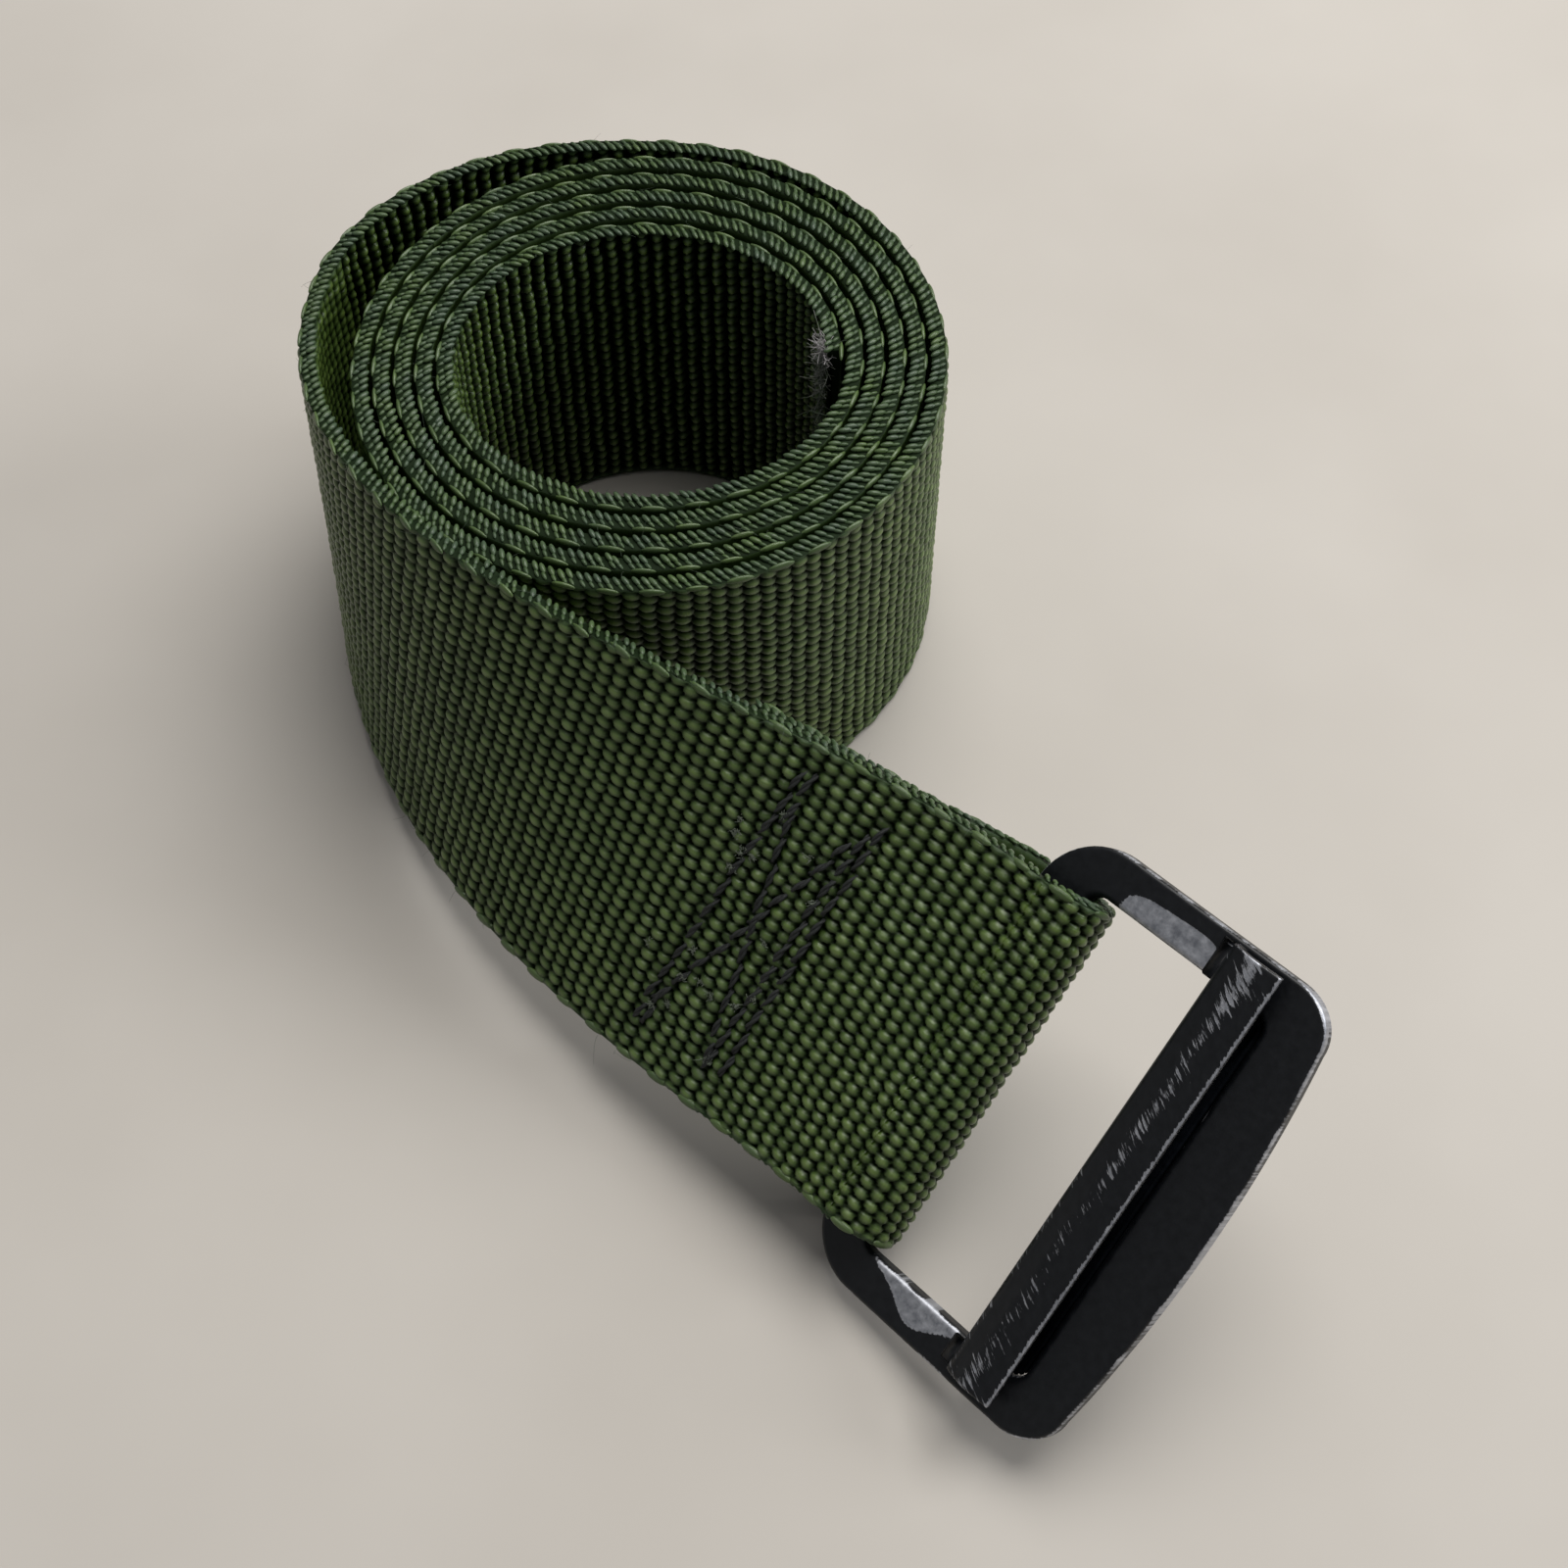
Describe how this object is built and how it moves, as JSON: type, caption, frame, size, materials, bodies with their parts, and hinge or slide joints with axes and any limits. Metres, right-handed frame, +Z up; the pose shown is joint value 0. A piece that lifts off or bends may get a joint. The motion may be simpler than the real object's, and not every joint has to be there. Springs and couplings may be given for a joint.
{
  "type": "tourniquet",
  "caption": "Strap tourniquet: a coil of olive webbing standing on edge, its sewn end looped round the bar of a black sliding-grip friction buckle.",
  "frame": {"origin": "on the surface it rests on, under the middle of the whole part", "axes": "+Z up along the axis of the coil; the coil is to the back and left, and the buckle to the front and right"},
  "size_m": [0.097, 0.1318, 0.0397],
  "materials": {
    "webbing": "coarse woven nylon, olive green",
    "thread": "twisted black thread",
    "buckle_black": "semi-gloss black, worn bright at the edges",
    "grip_black": "semi-gloss black, lip worn to bare metal"
  },
  "bodies": {
    "coil": {"webbing_coil": "webbing"},
    "free_end": {"webbing_lead": "webbing", "webbing_loop": "webbing", "webbing_tail": "webbing", "needle_front_row": "thread", "needle_inner_row": "thread", "needle_rear_row": "thread", "needle_rising_diagonal": "thread", "needle_falling_diagonal": "thread", "needle_far_backtack": "thread", "needle_near_backtack": "thread", "bobbin_front_row": "thread", "bobbin_inner_row": "thread", "bobbin_rear_row": "thread", "bobbin_rising_diagonal": "thread", "bobbin_falling_diagonal": "thread", "bobbin_far_backtack": "thread", "bobbin_near_backtack": "thread"},
    "buckle": {"buckle_frame": "buckle_black"},
    "grip": {"grip_bar": "grip_black"}
  },
  "joints": [
    {"name": "free_end_swing", "type": "hinge", "parent": "coil", "child": "free_end", "pos_m": [-0.04666, 0.04905, 0.01905], "axis": [0, 0, -1], "range_deg": [0, 40]},
    {"name": "buckle_turn", "type": "hinge", "parent": "free_end", "child": "buckle", "pos_m": [0.01687, -0.03188, 0.0162], "axis": [-0.521, -0.5921, -0.6148], "range_deg": [-2, 75]},
    {"name": "grip_slide", "type": "slide", "parent": "buckle", "child": "grip", "axis": [-0.6881, 0.7175, -0.108], "range_m": [0, 0.0085]}
  ]
}
